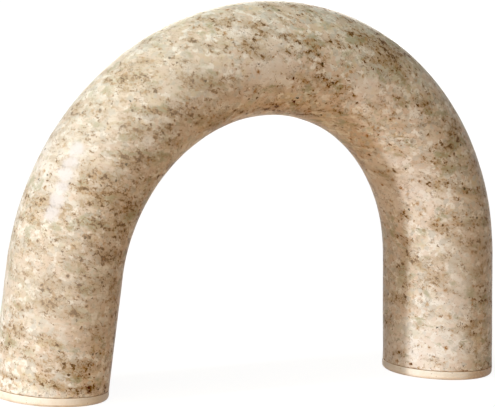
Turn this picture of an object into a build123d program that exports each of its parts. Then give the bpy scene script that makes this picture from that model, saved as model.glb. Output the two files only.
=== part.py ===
"""A freestanding stone arch: one round-section granite ring with two short splayed legs, each standing on a thin
base disc of cream limestone, with a thin bed of mortar between the leg and its disc.

Frame: millimetres, +Z up, the arch spans X, the way through it runs along Y.
Origin: on the floor, midway between the two feet.
"""

import math
import os

from build123d import *

# Arch ring: a circle swept along a straight leg, a bend and a straight leg
tube_radius = 130.0  # half the thickness of the round section
bend_radius = 510.0  # centreline radius of the bend
leg_splay = 4.5  # degrees that each leg leans outwards going down
leg_rise = 260.0  # height of the straight leg, from its foot to the bend
foot_arris = 1.0  # chamfer round the cut foot of a leg

# Thin mortar bed between a leg and its disc, struck back a little from the leg's face
bed_thickness = 1.2
bed_recess = 0.8

# Base disc
disc_thickness = 20.0
disc_overhang = 0.5  # how far the disc reaches past the leg's foot
disc_top_ease = 1.0  # small round on the upper edge
disc_lower_round = 8.5  # larger round on the lower edge

# Levels above the floor
bed_level = disc_thickness
foot_level = bed_level + bed_thickness
spring_level = foot_level + leg_rise

# Places worked out from the sizes above
splay = math.radians(leg_splay)
spring_x = bend_radius * math.cos(splay)
bend_centre_level = spring_level - bend_radius * math.sin(splay)
foot_x = spring_x + leg_rise * math.tan(splay)
foot_half_length = tube_radius / math.cos(splay)  # the level cut makes the foot a slight ellipse
disc_radius = foot_half_length + disc_overhang
crown_level = bend_centre_level + bend_radius


def make_arch_ring():
    """The carved granite ring, cut level at both feet."""
    run_past = tube_radius * math.tan(splay) * 2  # the sweep starts below the cut
    end_x = foot_x + run_past * math.tan(splay)
    end_level = foot_level - run_past
    with BuildPart() as ring:
        with BuildLine(Plane.XZ) as centreline:
            Line((-end_x, end_level), (-spring_x, spring_level))
            ThreePointArc((-spring_x, spring_level), (0, crown_level), (spring_x, spring_level))
            Line((spring_x, spring_level), (end_x, end_level))
        path = centreline.line
        with BuildSketch(Plane(origin=path @ 0, z_dir=path % 0)):
            Circle(tube_radius)
        sweep(path=path)
        split(bisect_by=Plane.XY.offset(foot_level), keep=Keep.TOP)
        foot_edges = ring.faces().filter_by(Axis.Z).group_by(Axis.Z)[0].edges()
        chamfer(foot_edges, foot_arris)
    ring.part.label = "arch_ring"
    return ring.part


def make_mortar_bed(side, name):
    """A thin bed, set back inside the outline of the leg's foot."""
    with BuildPart() as bed:
        with BuildSketch(Plane.XY.offset(bed_level)):
            with Locations((side * foot_x, 0)):
                Ellipse(foot_half_length - bed_recess, tube_radius - bed_recess)
        extrude(amount=bed_thickness)
    bed.part.label = name
    return bed.part


def make_base_disc(side, name):
    """A turned disc with an eased upper edge and a rounder lower one."""
    with BuildPart() as disc:
        with BuildSketch(Plane.XY):
            with Locations((side * foot_x, 0)):
                Circle(disc_radius)
        extrude(amount=disc_thickness)
        fillet(disc.edges().group_by(Axis.Z)[-1], disc_top_ease)
        fillet(disc.edges().group_by(Axis.Z)[0], disc_lower_round)
    disc.part.label = name
    return disc.part


pieces = [
    make_arch_ring(),
    make_mortar_bed(-1, "left_mortar_bed"),
    make_mortar_bed(1, "right_mortar_bed"),
    make_base_disc(-1, "left_base_disc"),
    make_base_disc(1, "right_base_disc"),
]

os.makedirs("parts", exist_ok=True)
for piece in pieces:
    export_step(piece, f"parts/{piece.label}.step")
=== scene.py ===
import math

import bpy
import numpy as np
from mathutils import Matrix, Vector


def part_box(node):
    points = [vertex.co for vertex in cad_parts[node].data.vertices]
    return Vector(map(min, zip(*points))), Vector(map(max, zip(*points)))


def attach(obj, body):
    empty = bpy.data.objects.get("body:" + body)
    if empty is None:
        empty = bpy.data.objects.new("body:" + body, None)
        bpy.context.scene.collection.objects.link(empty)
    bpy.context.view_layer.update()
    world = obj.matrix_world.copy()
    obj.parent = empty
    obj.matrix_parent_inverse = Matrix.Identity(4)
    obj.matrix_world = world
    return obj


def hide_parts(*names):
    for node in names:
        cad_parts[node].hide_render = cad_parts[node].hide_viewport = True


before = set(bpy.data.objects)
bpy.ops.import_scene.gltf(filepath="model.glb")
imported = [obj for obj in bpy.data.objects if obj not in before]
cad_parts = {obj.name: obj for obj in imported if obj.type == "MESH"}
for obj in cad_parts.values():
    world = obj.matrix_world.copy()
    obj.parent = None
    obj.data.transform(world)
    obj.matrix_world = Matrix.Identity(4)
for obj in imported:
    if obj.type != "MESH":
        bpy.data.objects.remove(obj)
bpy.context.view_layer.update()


# ---------------------------------------------------------------- granite ring
# The arch is one block of cream leucogranite, turned and ground to a round section, honed and waxed.
# Its bedding lies level through bend and legs: loose bands of garnet and mica specks in a pale ground of
# feldspar and quartz. Each leg is sawn level at the foot, and its sawn edge is eased and a little chipped.

ring_low, ring_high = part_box("arch_ring")
foot_level = ring_low[2]
tube_radius = (ring_high[1] - ring_low[1]) / 2
leg_splay = math.radians(4.5)
leg_rise = 0.260
spring_level = foot_level + leg_rise
foot_half_length = tube_radius / math.cos(leg_splay)
foot_x = ring_high[0] - foot_half_length
bend_radius = (foot_x - leg_rise * math.tan(leg_splay)) / math.cos(leg_splay)
bend_centre = spring_level - bend_radius * math.sin(leg_splay)
foot_arris = 0.0010
row_crowding = 2.2
grinding_depth = 0.00014
grinding_crest = 3.0
unground_height = 0.02


def ring_stations(leg_rows, bend_rows):
    """Stations along the ring: centre of each section, its in-plane half axis, and the direction of travel.
    A leg is ruled between the level ellipse of its foot and the square-cut circle of its spring, with rows
    crowded towards the foot. The bend is circles square to a circular centreline."""
    share = np.linspace(0, 1, leg_rows, endpoint=False) ** row_crowding
    foot_centre = np.array([-foot_x, foot_level])
    spring_centre = np.array([-bend_radius * math.cos(leg_splay), spring_level])
    foot_axis = np.array([-foot_half_length, 0.0])
    spring_axis = tube_radius * np.array([-math.cos(leg_splay), math.sin(leg_splay)])
    leg_centres = foot_centre + share[:, None] * (spring_centre - foot_centre)
    leg_axes = foot_axis + share[:, None] * (spring_axis - foot_axis)
    leg_travel = np.tile([math.sin(leg_splay), math.cos(leg_splay)], (leg_rows, 1))
    turn = np.linspace(math.pi - leg_splay, leg_splay, bend_rows)
    outward = np.stack([np.cos(turn), np.sin(turn)], -1)
    bend_centres = np.array([0.0, bend_centre]) + bend_radius * outward
    bend_travel = np.stack([np.sin(turn), -np.cos(turn)], -1)
    mirror = np.array([-1.0, 1.0])
    centres = np.vstack([leg_centres, bend_centres, leg_centres[::-1] * mirror])
    axes = np.vstack([leg_axes, tube_radius * outward, leg_axes[::-1] * mirror])
    travel = np.vstack([leg_travel, bend_travel, leg_travel[::-1] * np.array([1.0, -1.0])])
    return centres, axes, travel


def ring_surface(leg_rows, bend_rows, around):
    """Skin of the ring, a function of station s and angle t round the section: section centre(s) plus
    cos t times the in-plane half axis(s) plus sin t times the tube radius along Y. Each point then moves
    inwards along the skin's normal. Hand-grinding takes off grinding_depth times (grinding_crest minus a sum
    of four sines of the place), where grinding_crest is the most that the sines add up to, and it fades out
    towards a foot. The sawn edge loses as much as the arris and its chips reach above the point, where the
    chips are the crests of three sines of t."""
    centres, axes, travel = ring_stations(leg_rows, bend_rows)
    t = np.linspace(0, 2 * math.pi, around, endpoint=False)
    x = centres[:, :1] + axes[:, :1] * np.cos(t)
    z = centres[:, 1:] + axes[:, 1:] * np.cos(t)
    y = tube_radius * np.sin(t) + np.zeros_like(x)
    skin = np.stack([x, y, z], -1)
    arm = np.stack([x - centres[:, :1], y, z - centres[:, 1:]], -1)
    along = np.stack([travel[:, 0], np.zeros(len(travel)), travel[:, 1]], -1)[:, None, :]
    out = arm - (arm * along).sum(-1, keepdims=True) * along
    out /= np.linalg.norm(out, axis=-1, keepdims=True)
    waves = (
        np.sin(37 * x + 21 * y - 16 * z + 0.6)
        + np.sin(-19 * x + 44 * y + 33 * z + 2.1)
        + 0.6 * np.sin(61 * x - 52 * y + 47 * z + 4.0)
        + 0.4 * np.sin(93 * x + 71 * y - 88 * z + 1.3)
    )
    ground_off = grinding_depth * (grinding_crest - waves)
    above = z - foot_level
    side = np.sign(x)
    chips = (
        np.clip(np.sin(7 * t + 1.1 * side) - 0.90, 0, 1) * 0.030
        + np.clip(np.sin(13 * t + 2.7 * side) - 0.93, 0, 1) * 0.026
        + np.clip(np.sin(29 * t - 1.9 * side) - 0.86, 0, 1) * 0.008
    )
    eased = foot_arris + chips
    depth = ground_off * np.clip(above / unground_height, 0, 1) + np.clip(eased - above, 0, None)
    return skin - out * depth[..., None]


def closed_tube(grid, name):
    """Joins a grid of rings into a shell: quads between neighbouring rings, and each end filled by rings that
    shrink to a point at the end's centre. The two ends are flat-shaded and the rest is smooth."""
    around = grid.shape[1]
    shrink = (0.97, 0.8, 0.5, 0.2)
    ends = []
    for first in (grid[0], grid[-1]):
        centre = first.mean(0)
        ends.append(np.stack([centre + (first - centre) * share for share in shrink]))
    rings = np.concatenate([ends[0][::-1], grid, ends[1]])
    points = np.vstack([rings.reshape(-1, 3), grid[0].mean(0), grid[-1].mean(0)])
    count = len(rings)
    i, j = np.meshgrid(np.arange(count - 1), np.arange(around), indexing="ij")
    k = (j + 1) % around
    quads = np.stack([i * around + j, i * around + k, (i + 1) * around + k, (i + 1) * around + j], -1)
    quads = quads.reshape(-1, 4)
    j = np.arange(around)
    k = (j + 1) % around
    first_pole, last_pole = count * around, count * around + 1
    start = np.stack([k, j, np.full(around, first_pole)], -1)
    last = (count - 1) * around
    finish = np.stack([last + j, last + k, np.full(around, last_pole)], -1)
    mesh = bpy.data.meshes.new(name)
    mesh.from_pydata(points.tolist(), [], quads.tolist() + start.tolist() + finish.tolist())
    mesh.validate()
    smooth = np.ones(len(mesh.polygons), bool)
    smooth[: len(shrink) * around] = False
    smooth[(count - 1 - len(shrink)) * around :] = False
    mesh.polygons.foreach_set("use_smooth", smooth)
    mesh.update()
    piece = bpy.data.objects.new(name, mesh)
    bpy.context.scene.collection.objects.link(piece)
    return piece


def put(tree, kind, sockets=None, **settings):
    """Adds one shader node. Each entry of sockets is an input's name or number, with the value it is set to
    or the output that is linked to it."""
    made = tree.nodes.new("ShaderNode" + kind)
    for key, value in settings.items():
        setattr(made, key, value)
    for key, value in (sockets or {}).items():
        if isinstance(value, bpy.types.NodeSocket):
            tree.links.new(value, made.inputs[key])
        else:
            made.inputs[key].default_value = value
    return made


def noise(tree, place, scale, detail=2.0, rough=0.5, kind="Fac"):
    sockets = {"Vector": place, "Scale": scale, "Detail": detail, "Roughness": rough}
    return put(tree, "TexNoise", sockets).outputs[kind]


def cells(tree, place, scale):
    return put(tree, "TexVoronoi", {"Vector": place, "Scale": scale}, feature="F1").outputs


def calc(tree, operation, a, b=0.0, c=0.0):
    return put(tree, "Math", {0: a, 1: b, 2: c}, operation=operation).outputs[0]


def step(tree, value, low, high, to_low=0.0, to_high=1.0):
    """Smooth step of value from low to high, as a number from to_low to to_high."""
    sockets = {"Value": value, "From Min": low, "From Max": high, "To Min": to_low, "To Max": to_high}
    return put(tree, "MapRange", sockets, interpolation_type="SMOOTHSTEP").outputs[0]


def blend(tree, share, under, over):
    return put(tree, "Mix", {0: share, 6: under, 7: over}, data_type="RGBA").outputs[2]


def shift(tree, place, move, turn=(0, 0, 0), stretch=(1, 1, 1)):
    """Moves, turns and stretches a pattern. stretch is how many times longer it grows along each axis."""
    sockets = {"Vector": place, "Location": move, "Rotation": turn, "Scale": stretch}
    return put(tree, "Mapping", sockets, vector_type="TEXTURE").outputs[0]


def jostle(tree, place, scale, detail, reach):
    """The place pushed about in all three directions: place plus reach times (noise minus a half)."""
    sockets = {0: noise(tree, place, scale, detail, kind="Color"), 1: (0.5, 0.5, 0.5)}
    push = put(tree, "VectorMath", sockets, operation="SUBTRACT").outputs[0]
    push = put(tree, "VectorMath", {0: push, "Scale": reach}, operation="SCALE").outputs[0]
    return put(tree, "VectorMath", {0: place, 1: push}, operation="ADD").outputs[0]


def distance(tree, place, spot):
    return put(tree, "VectorMath", {0: place, 1: spot}, operation="DISTANCE").outputs["Value"]


def new_stone(name):
    """A new material, with its node tree, its shader and the place on the block in metres."""
    material = bpy.data.materials.new(name)
    material.use_nodes = True
    tree = material.node_tree
    tree.nodes.clear()
    shader = put(tree, "BsdfPrincipled")
    put(tree, "OutputMaterial", {"Surface": shader.outputs[0]})
    place = put(tree, "TexCoord").outputs["Object"]
    return material, tree, shader, place


cream = (0.70, 0.635, 0.55, 1)
chalk_white = (0.82, 0.80, 0.77, 1)
haze_white = (0.71, 0.69, 0.655, 1)
# white of the painted highlight on the left shoulder
highlight_white = (0.68, 0.66, 0.69, 1)
# white of the painted glints
painted_glint_white = (0.90, 0.88, 0.84, 1)
# pale wash of the calm zones, partly a painted highlight at the left shoulder
pearl_and_sheen = (0.745, 0.705, 0.68, 1)
shell_pink = (0.66, 0.545, 0.455, 1)
straw = (0.66, 0.57, 0.425, 1)
quartz_grey = (0.56, 0.54, 0.50, 1)
sage_grey = (0.55, 0.555, 0.45, 1)
moss_grey = (0.34, 0.335, 0.205, 1)
smoke_brown = (0.37, 0.275, 0.16, 1)
rust_tan = (0.47, 0.31, 0.165, 1)
rust = (0.33, 0.175, 0.07, 1)
stain_brown = (0.20, 0.125, 0.06, 1)
garnet_brown = (0.105, 0.055, 0.024, 1)
mica_black = (0.065, 0.050, 0.028, 1)
granite_average = (0.565, 0.503, 0.440, 1)

# the bedding wanders and is drawn out level, and the grains have ragged edges
granite, g, granite_shader, place = new_stone("honed_speckled_granite")
bedded = jostle(g, place, 4.0, 2.0, 0.07)
bedded = shift(g, bedded, (0.3, 0.1, 0.7), (0.07, 0.12, 0.0), (1.35, 1.2, 0.75))
grainy = jostle(g, place, 170, 2.0, 0.010)


def zones(*spots):
    """Soft round regions of the block, each given as x, z and reach: 1 at the middle and 0 at reach, running
    straight through along Y. Where regions overlap, the stronger one counts."""
    flat = put(g, "VectorMath", {0: place, 1: (1, 0, 1)}, operation="MULTIPLY").outputs[0]
    strongest = 0.0
    for x, z, reach in spots:
        here = step(g, distance(g, flat, (x, 0, z)), 0.0, reach, 1.0, 0.0)
        strongest = calc(g, "MAXIMUM", strongest, here)
    return strongest


# the block is calm and white at the left shoulder, in the crown, inside the right bend and at the right foot;
# the white is partly painted light: a painted highlight at the left shoulder, a painted pool of light inside
# the right bend
calm_and_lit = zones(
    (-0.57, 0.53, 0.13), (-0.08, 0.74, 0.12), (0.35, 0.44, 0.12), (0.43, 0.06, 0.14),
    (-0.14, 0.82, 0.07), (0.18, 0.70, 0.07), (0.30, 0.51, 0.06), (0.49, 0.21, 0.08),
)
# and it is busiest in the left haunch and over the right shoulder
busy = zones(
    (-0.50, 0.40, 0.20), (-0.42, 0.56, 0.14), (0.27, 0.77, 0.11), (0.43, 0.55, 0.07), (-0.32, 0.65, 0.07),
)
richness = calc(g, "SUBTRACT", busy, calm_and_lit)

# painted light: the marking is drawn faint where the lamps light the block most, in the left leg, the left
# shoulder and the upper part of the right leg
faint_where_lit = zones((-0.61, 0.29, 0.27), (-0.47, 0.62, 0.22), (-0.32, 0.73, 0.20), (0.48, 0.29, 0.17))
lit_fading = -0.32
# and bold from the crown down the right bend and at both feet, mostly where the block lies in shade
bold_where_shaded = zones(
    (-0.02, 0.69, 0.16), (0.14, 0.72, 0.20), (0.29, 0.60, 0.16),
    (0.40, 0.40, 0.12), (0.45, 0.04, 0.14), (-0.49, 0.07, 0.12),
)
shade_boost = 0.22
light_and_shade_contrast = calc(g, "MULTIPLY_ADD", faint_where_lit, lit_fading, calc(g, "MULTIPLY_ADD", bold_where_shaded, shade_boost, 1.0))

# pale ground: feldspar clouds, then a slow drift from straw to grey-white and from pink to green-grey
clouds = noise(g, bedded, 12.0, 4.0, 0.62)
ground = blend(g, step(g, clouds, 0.34, 0.52), shell_pink, cream)
ground = blend(g, step(g, clouds, 0.50, 0.64), ground, chalk_white)
drift = noise(g, shift(g, bedded, (0.9, 2.2, 1.4)), 27.0, 4.0, 0.60)
ground = blend(g, step(g, drift, 0.51, 0.64, 0.0, 0.90), ground, straw)
ground = blend(g, step(g, drift, 0.48, 0.36, 0.0, 0.85), ground, haze_white)
blush = noise(g, shift(g, bedded, (4.4, 0.6, 7.1)), 18.0, 4.0, 0.60)
ground = blend(g, step(g, blush, 0.52, 0.66, 0.0, 0.75), ground, shell_pink)
ground = blend(g, step(g, blush, 0.47, 0.34, 0.0, 0.70), ground, sage_grey)

# the interlocking grains, under a pearl-white wash where the block is calm, in part a painted highlight at
# the left shoulder
grain_sockets = {"Vector": grainy, "Scale": 82.0, "Smoothness": 0.35}
grain = put(g, "TexVoronoi", grain_sockets, feature="SMOOTH_F1").outputs
grain_tone = put(g, "SeparateColor", {0: grain["Color"]}).outputs
ground = blend(g, step(g, grain_tone[0], 0.58, 0.76, 0.0, 0.80), ground, chalk_white)
ground = blend(g, step(g, grain_tone[1], 0.62, 0.80, 0.0, 0.75), ground, quartz_grey)
ground = blend(g, step(g, grain_tone[2], 0.62, 0.82, 0.0, 0.70), ground, shell_pink)
ground = blend(g, calc(g, "MULTIPLY", calm_and_lit, 0.60), ground, pearl_and_sheen)

# where the dark minerals gather: level streaks broken into clots, with mossy and smoky smudges among them
streaks = noise(g, shift(g, bedded, (7.7, 2.3, 5.1), (0, 0, 0), (1.9, 1.6, 0.6)), 12.0, 2.0, 0.5)
clots = noise(g, shift(g, bedded, (3.1, 1.7, 0.4)), 22.0, 5.0, 0.66)
gathered = calc(g, "MULTIPLY_ADD", richness, 0.10, calc(g, "MULTIPLY_ADD", streaks, 0.8, clots))
gather = step(g, gathered, 0.83, 1.12)
ground = blend(g, calc(g, "MULTIPLY", gather, 0.60), ground, smoke_brown)
mossy = calc(g, "MULTIPLY_ADD", richness, 0.06, noise(g, shift(g, bedded, (8.8, 5.1, 2.9)), 24.0, 4.0, 0.60))
ground = blend(g, step(g, mossy, 0.555, 0.67, 0.0, 0.65), ground, moss_grey)
smudge = noise(g, shift(g, grainy, (1.8, 6.1, 4.9), (0.1, 0.45, 0.0), (1.4, 1.1, 0.8)), 56.0, 4.0, 0.65)
smudge = calc(g, "MULTIPLY_ADD", richness, 0.05, smudge)
ground = blend(g, step(g, smudge, 0.55, 0.70, 0.0, 0.75), ground, smoke_brown)

# biotite flakes: a ragged dark core with rusty stain soaked out round it
flake = noise(g, shift(g, grainy, (6.2, 3.3, 9.4), (0.2, 0.5, 0.0), (1.5, 1.1, 0.8)), 90.0, 4.0, 0.66)
flake = calc(g, "MULTIPLY_ADD", richness, 0.03, calc(g, "MULTIPLY_ADD", gather, 0.10, flake))
ground = blend(g, step(g, flake, 0.56, 0.68, 0.0, 0.80), ground, rust_tan)
core = step(g, flake, 0.632, 0.68)
core_colour = blend(g, step(g, grain_tone[2], 0.30, 0.60), garnet_brown, stain_brown)

# a fine pepper of rust between the grains
pepper = noise(g, shift(g, grainy, (2.9, 7.7, 3.1), (0.1, 0.3, 0.0), (1.3, 1.0, 0.8)), 175.0, 3.0, 0.6)
pepper = calc(g, "MULTIPLY_ADD", gather, 0.06, pepper)
pepper_colour = blend(g, step(g, grain_tone[0], 0.4, 0.6), rust, stain_brown)
ground = blend(g, step(g, pepper, 0.60, 0.72, 0.0, 0.75), ground, pepper_colour)

# thin curved seams where stain has run between grains
seam = noise(g, shift(g, grainy, (2.6, 8.3, 0.5)), 62.0, 2.0, 0.55)
seam = calc(g, "ABSOLUTE", calc(g, "SUBTRACT", seam, 0.5))
seam = step(g, seam, 0.004, 0.024, 1.0, 0.0)
worn = step(g, calc(g, "MULTIPLY_ADD", gather, 0.12, noise(g, place, 34.0, 2.0)), 0.52, 0.62)
ground = blend(g, calc(g, "MULTIPLY", calc(g, "MULTIPLY", seam, worn), 0.60), ground, stain_brown)


def specks(place, scale, small, large, share):
    """Grains of one mineral, one to a cell. Returns a mask for the grain, a wider soft mask round it, and the
    cell's own random numbers. share is how many cells hold one, from 0 to 1."""
    seed = cells(g, place, scale)
    random = put(g, "SeparateColor", {0: seed["Color"]}).outputs
    there = calc(g, "LESS_THAN", random[0], share)
    radius = calc(g, "MULTIPLY_ADD", random[1], large - small, small)
    inside = step(g, calc(g, "SUBTRACT", seed["Distance"], radius), -0.12, 0.06, 1.0, 0.0)
    near = step(g, seed["Distance"], 0.2, 0.75, 1.0, 0.0)
    return calc(g, "MULTIPLY", inside, there), calc(g, "MULTIPLY", near, there), random


# garnets, mica and rust specks, thicker where the dark minerals gather, many with a ring of bled iron
share = calc(g, "MULTIPLY_ADD", gather, 0.26, 0.06)
garnet, halo, mineral = specks(grainy, 88.0, 0.10, 0.34, share)
rusty = step(g, mineral[2], 0.45, 0.50)
ground = blend(g, calc(g, "MULTIPLY", halo, calc(g, "MULTIPLY", rusty, 0.75)), ground, rust_tan)
mineral_colour = blend(g, step(g, mineral[2], 0.25, 0.30), mica_black, garnet_brown)
mineral_colour = blend(g, step(g, mineral[2], 0.75, 0.85), mineral_colour, rust)
colour = blend(g, calc(g, "MULTIPLY", core, 0.88), ground, core_colour)
colour = blend(g, calc(g, "MULTIPLY", garnet, 0.90), colour, mineral_colour)
speck = calc(g, "MAXIMUM", garnet, core)

# painted glints: small white specks where quartz would catch the light, and then the whole marking drawn
# towards the average where the block is lit or away from it where it is shaded
painted_glint, _, _ = specks(shift(g, place, (5.3, 0.7, 3.9)), 62.0, 0.05, 0.14, 0.40)
colour = blend(g, calc(g, "MULTIPLY", painted_glint, 0.85), colour, painted_glint_white)
contrast = {0: light_and_shade_contrast, 6: granite_average, 7: colour}
colour = put(g, "Mix", contrast, data_type="RGBA", clamp_factor=False, clamp_result=True).outputs[2]

# a painted highlight: a milky-white streak down the front of the left shoulder, where the reflection of the
# high window lies
highlight_top = (-0.535, -0.066, 0.564)
highlight_foot = (-0.590, -0.072, 0.425)
highlight_core = 0.009
highlight_rim = 0.027
highlight_place = jostle(g, place, 45, 3.0, 0.025)
painted_highlight = 0.0
for spot in np.linspace(highlight_top, highlight_foot, 6):
    here = step(g, distance(g, highlight_place, spot), highlight_core, highlight_rim, 0.80, 0.0)
    painted_highlight = calc(g, "MAXIMUM", painted_highlight, here)
colour = blend(g, painted_highlight, colour, highlight_white)
g.links.new(colour, granite_shader.inputs["Base Color"])

# the honed face: quartz takes the best polish, dark grains the least, and they sit a hair low
gloss = calc(g, "MULTIPLY_ADD", grain_tone[1], -0.08, 0.38)
gloss = calc(g, "MULTIPLY_ADD", speck, 0.12, gloss)
g.links.new(gloss, granite_shader.inputs["Roughness"])
relief = calc(g, "MULTIPLY_ADD", grain_tone[0], 0.15, calc(g, "MULTIPLY", noise(g, place, 420, 2.0), 0.25))
relief = calc(g, "MULTIPLY_ADD", speck, -0.5, relief)
bump = put(g, "Bump", {"Height": relief, "Strength": 0.35, "Distance": 0.0006})
g.links.new(bump.outputs[0], granite_shader.inputs["Normal"])
granite_shader.inputs["Specular IOR Level"].default_value = 0.06

# the rows are turned round so that the faces point outwards
ring_rows = ring_surface(leg_rows=56, bend_rows=300, around=208)[::-1]
ring = closed_tube(ring_rows, "granite_ring")
ring.data.materials.append(granite)
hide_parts("arch_ring")
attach(ring, "root")


# ---------------------------------------------------------------- mortar beds
# Each leg sits on a bed of rust-brown stone mortar about a millimetre thick, struck back just inside the
# leg's edge while it was soft, so that it reads as a fine brown line. The struck edge is a little uneven.

wet_rust = (0.28, 0.165, 0.085, 1)
dry_tan = (0.46, 0.30, 0.17, 1)
sand_grain = (0.55, 0.41, 0.27, 1)
edge_ripple = 0.0006

mortar, m, mortar_shader, place = new_stone("struck_brown_mortar")
sandy = noise(m, place, 900, 2.0, 0.6)
patchy = noise(m, place, 60, 2.0, 0.5)
body = blend(m, step(m, patchy, 0.40, 0.62), wet_rust, dry_tan)
body = blend(m, step(m, sandy, 0.55, 0.75, 0.0, 0.5), body, sand_grain)
m.links.new(body, mortar_shader.inputs["Base Color"])
mortar_shader.inputs["Roughness"].default_value = 0.9
grit = put(m, "Bump", {"Height": sandy, "Strength": 0.6, "Distance": 0.0005})
m.links.new(grit.outputs[0], mortar_shader.inputs["Normal"])


def turned(profile, centre_x, around, stretch_x=1.0):
    """Surface of revolution: each (radius, level) of the profile is carried round an upright axis at
    centre_x. The radius loses the edge ripple, times the profile's third number, times a sum of three sines
    of the angle that is scaled to stay between 0 and 1. stretch_x widens the circle into an ellipse."""
    t = np.linspace(0, 2 * math.pi, around, endpoint=False)
    wave = (3 + np.sin(5 * t + centre_x * 9) + np.sin(11 * t + 1.7) + np.sin(23 * t - centre_x * 5)) / 6
    radius, level, worn = (column[:, None] for column in np.array(profile).T)
    reach = radius - edge_ripple * worn * wave
    return np.stack([centre_x + stretch_x * reach * np.cos(t), reach * np.sin(t), level + 0 * reach], -1)


for name in ("left", "right"):
    bed_low, bed_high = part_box(f"{name}_mortar_bed")
    bed_reach = (bed_high[1] - bed_low[1]) / 2
    middle = (bed_low[0] + bed_high[0]) / 2
    widen = (bed_high[0] - bed_low[0]) / 2 / bed_reach
    thick = bed_high[2] - bed_low[2]
    # the ripple is deepest halfway up the bed, and slighter where it meets the stone
    heights = (0, 0.2, 0.4, 0.6, 0.8, 1)
    struck = [(bed_reach, bed_low[2] + thick * k, 1 - abs(2 * k - 1) * 0.6) for k in heights]
    bed = closed_tube(turned(struck, middle, 144, widen), f"{name}_bed")
    bed.data.materials.append(mortar)
    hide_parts(f"{name}_mortar_bed")
    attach(bed, "root")


# ---------------------------------------------------------------- base discs
# Under each leg lies a disc of plain pale limestone, sawn from 20 mm slab, turned to the size of the leg
# and honed. Its top edge is just eased and its lower edge is rounded over. The edge is a little worn, darker
# in patches near the floor, and painted with shade in brown on its right-hand side, away from the key lamp.

warm_cream = (0.76, 0.70, 0.615, 1)
pale_cream = (0.825, 0.79, 0.735, 1)
fawn = (0.60, 0.49, 0.36, 1)
iron_brown = (0.30, 0.19, 0.10, 1)
# brown of the darker patches just above the floor
low_brown = (0.46, 0.34, 0.22, 1)
# brown of the painted shade on the discs' right-hand sides
shade_side_brown = (0.56, 0.405, 0.28, 1)

limestone, s, limestone_shader, place = new_stone("honed_cream_limestone")
cloudy = noise(s, place, 22, 4.0, 0.6)
fine = noise(s, place, 260, 3.0, 0.6)
body = blend(s, step(s, cloudy, 0.35, 0.68), warm_cream, pale_cream)
body = blend(s, step(s, fine, 0.52, 0.72, 0.0, 0.25), body, fawn)

# iron flecks, one to some of the cells
fleck = cells(s, place, 120)
fleck_random = put(s, "SeparateColor", {0: fleck["Color"]}).outputs
flecks = step(s, fleck["Distance"], 0.08, 0.20, 1.0, 0.0)
flecks = calc(s, "MULTIPLY", flecks, calc(s, "LESS_THAN", fleck_random[0], 0.18))
body = blend(s, calc(s, "MULTIPLY", flecks, 0.6), body, iron_brown)

# darker in patches just above the floor
across, _, height = put(s, "SeparateXYZ", {0: place}).outputs
near_floor_patches = step(s, height, 0.001, 0.007, 1.0, 0.0)
near_floor_patches = calc(s, "MULTIPLY", near_floor_patches, step(s, noise(s, place, 35, 3.0), 0.38, 0.62))
body = blend(s, calc(s, "MULTIPLY", near_floor_patches, 0.30), body, low_brown)

# painted shade: the right-hand side of each disc, away from the key lamp, is painted darker and browner in
# blotches, faintly on the left disc and strongly on the right one
painted_shade_side = calc(s, "MULTIPLY", step(s, across, -0.53, -0.45, 0.0, 0.30), calc(s, "LESS_THAN", across, 0.0))
painted_shade_side = calc(s, "MAXIMUM", painted_shade_side, step(s, across, 0.49, 0.57))
shade_blotch = step(s, noise(s, place, 130, 4.0, 0.65), 0.36, 0.60, 0.55, 1.0)
body = blend(s, calc(s, "MULTIPLY", painted_shade_side, shade_blotch), body, shade_side_brown)
s.links.new(body, limestone_shader.inputs["Base Color"])
s.links.new(calc(s, "MULTIPLY_ADD", fine, 0.2, 0.38), limestone_shader.inputs["Roughness"])
pores = put(s, "Bump", {"Height": fine, "Strength": 0.3, "Distance": 0.0004})
s.links.new(pores.outputs[0], limestone_shader.inputs["Normal"])

lower_round = 0.0085
top_ease = 0.0010
quarter = np.linspace(0, math.pi / 2, 9)

for name in ("left", "right"):
    disc_low, disc_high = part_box(f"{name}_base_disc")
    middle = (disc_low[0] + disc_high[0]) / 2
    reach = (disc_high[1] - disc_low[1]) / 2
    top = disc_high[2]
    # a quarter round from the floor up, worn more and more towards the side, then the eased top edge
    lower = [
        (
            reach - lower_round + lower_round * math.sin(a),
            lower_round - lower_round * math.cos(a),
            math.sin(a),
        )
        for a in quarter
    ]
    upper = [
        (reach - top_ease + top_ease * math.cos(a), top - top_ease + top_ease * math.sin(a), 1)
        for a in quarter[::2]
    ]
    disc = closed_tube(turned(lower + upper, middle, 192), f"{name}_disc")
    disc.data.materials.append(limestone)
    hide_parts(f"{name}_base_disc")
    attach(disc, "root")


# ---------------------------------------------------------------- floor
# A plain sheet of studio paper that runs far past the arch on every side. To the lens and in a polish it is
# white with part of the shadow kept, and pure white further off. To all other light it is a warm matt sheet.

far_edge = 40.0
floor_corners = [
    (-far_edge, -far_edge, 0), (far_edge, -far_edge, 0), (far_edge, far_edge, 0), (-far_edge, far_edge, 0),
]
floor_mesh = bpy.data.meshes.new("studio_floor")
floor_mesh.from_pydata(floor_corners, [], [(0, 1, 2, 3)])
floor = bpy.data.objects.new("studio_floor", floor_mesh)
bpy.context.scene.collection.objects.link(floor)


def looked_at(tree):
    """1 for a ray from the lens, through glass or off a polish, and 0 for all other light."""
    rays = put(tree, "LightPath").outputs
    seen = calc(tree, "MAXIMUM", rays["Is Camera Ray"], rays["Is Transmission Ray"])
    return calc(tree, "MAXIMUM", seen, rays["Is Glossy Ray"])


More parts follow.
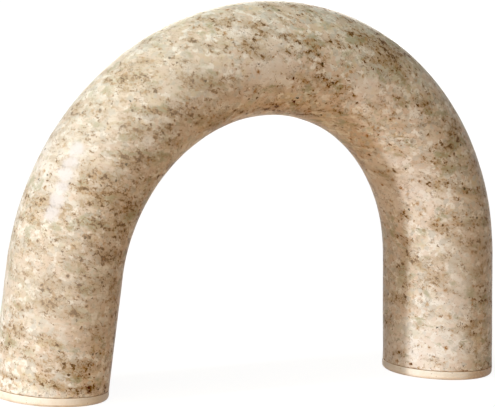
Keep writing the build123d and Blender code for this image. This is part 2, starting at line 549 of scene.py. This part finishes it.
paper = bpy.data.materials.new("studio_paper")
paper.use_nodes = True
p = paper.node_tree
p.nodes.clear()
warm_sheet = put(p, "BsdfDiffuse", {"Color": (0.83, 0.54, 0.30, 1)})
far = put(p, "VectorMath", {0: put(p, "TexCoord").outputs["Object"]}, operation="LENGTH").outputs["Value"]
white = put(p, "Emission", {"Color": (1, 1, 1, 1), "Strength": step(p, far, 2.0, 7.0, 1.10, 1.19)})
shadow_sheet = put(p, "BsdfDiffuse", {"Color": (1, 1, 1, 1)})
white_look = put(p, "MixShader", {0: 0.85, 1: shadow_sheet.outputs[0], 2: white.outputs[0]})
look = put(p, "MixShader", {0: looked_at(p), 1: warm_sheet.outputs[0], 2: white_look.outputs[0]})
put(p, "OutputMaterial", {"Surface": look.outputs[0]})
floor_mesh.materials.append(paper)


# ---------------------------------------------------------------- lamps and room
# A tall narrow lamp stands far to the left, almost in line with the arch, with a cool window high above it.
# Soft panels at the left, in front, overhead and behind fill the shadows. The room is dim and warm, and it
# looks white to the lens and in a polish.

aim = Vector((0, 0, 0.42))


def lamp(name, azimuth, elevation, standoff, wide, tall, watts, tint):
    """A rectangular lamp on a sphere round the arch. Azimuth 0 is the front, and positive is to the right."""
    a, e = math.radians(azimuth), math.radians(elevation)
    away = Vector((math.sin(a) * math.cos(e), -math.cos(a) * math.cos(e), math.sin(e)))
    data = bpy.data.lights.new(name, "AREA")
    data.shape = "RECTANGLE"
    data.size = wide
    data.size_y = tall
    data.energy = watts
    data.color = tint
    made = bpy.data.objects.new(name, data)
    facing = away.to_track_quat("Z", "Y").to_matrix().to_4x4()
    made.matrix_world = Matrix.Translation(aim + away * standoff) @ facing
    bpy.context.scene.collection.objects.link(made)
    return made


# the key is left out of mirror reflections, where it would burn a spot into the edge of the crown
tall_key = lamp("tall_key", -84.8, 9, 40.0, 0.8, 7.1, 8800, (1.0, 1.0, 1.0))
tall_key.visible_glossy = False
lamp("high_window", -84, 34, 40.0, 2.4, 12.0, 4300, (0.60, 0.86, 1.0))
lamp("left_panel", -60, 30, 12.0, 6.0, 4.4, 105, (0.82, 0.93, 1.0))
lamp("front_panel", -35, 22, 12.0, 6.0, 4.4, 480, (1.0, 0.935, 0.85))
lamp("overhead_panel", -76, 64, 8.0, 4.0, 4.0, 265, (1.0, 0.86, 0.52))
lamp("rear_panel", 150, 12, 8.0, 4.0, 3.0, 120, (1.0, 0.94, 0.84))
lamp("back_panel", 140, 40, 8.0, 4.0, 3.0, 8, (1.0, 0.62, 0.30))

world = bpy.data.worlds.new("dim_warm_room")
bpy.context.scene.world = world
world.use_nodes = True
w = world.node_tree
w.nodes.clear()
dim_room = put(w, "Background", {"Color": (1.0, 0.80, 0.60, 1), "Strength": 0.02})
white_room = put(w, "Background", {"Color": (1, 1, 1, 1), "Strength": 1.0})
look = put(w, "MixShader", {0: looked_at(w), 1: dim_room.outputs[0], 2: white_room.outputs[0]})
put(w, "OutputWorld", {"Surface": look.outputs[0]})


# ---------------------------------------------------------------- camera
# A long lens at standing eye height, to the left of the arch's front, held a few degrees off level.

lens_azimuth = math.radians(-33.137)
lens_elevation = math.radians(8.479)
lens_roll = math.radians(3.457)
lens_standoff = 63.608 * tube_radius
target_x = -0.28 * tube_radius
target_rise = 3.0466 * tube_radius
target = Vector((target_x, 0, foot_level + target_rise))
back = Vector((
    math.sin(lens_azimuth) * math.cos(lens_elevation),
    -math.cos(lens_azimuth) * math.cos(lens_elevation),
    math.sin(lens_elevation),
))
level_right = Vector((math.cos(lens_azimuth), math.sin(lens_azimuth), 0))
level_up = back.cross(level_right)
right = level_right * math.cos(lens_roll) + level_up * math.sin(lens_roll)
up = level_up * math.cos(lens_roll) - level_right * math.sin(lens_roll)
camera_data = bpy.data.cameras.new("long_lens")
camera_data.sensor_width = 36.0
camera_data.lens = 263.9
camera_data.clip_end = 200.0
camera = bpy.data.objects.new("long_lens", camera_data)
facing = Matrix((right, up, back)).transposed().to_4x4()
camera.matrix_world = Matrix.Translation(target + back * lens_standoff) @ facing
bpy.context.scene.collection.objects.link(camera)
bpy.context.scene.camera = camera

bpy.context.scene.view_settings.view_transform = "Standard"
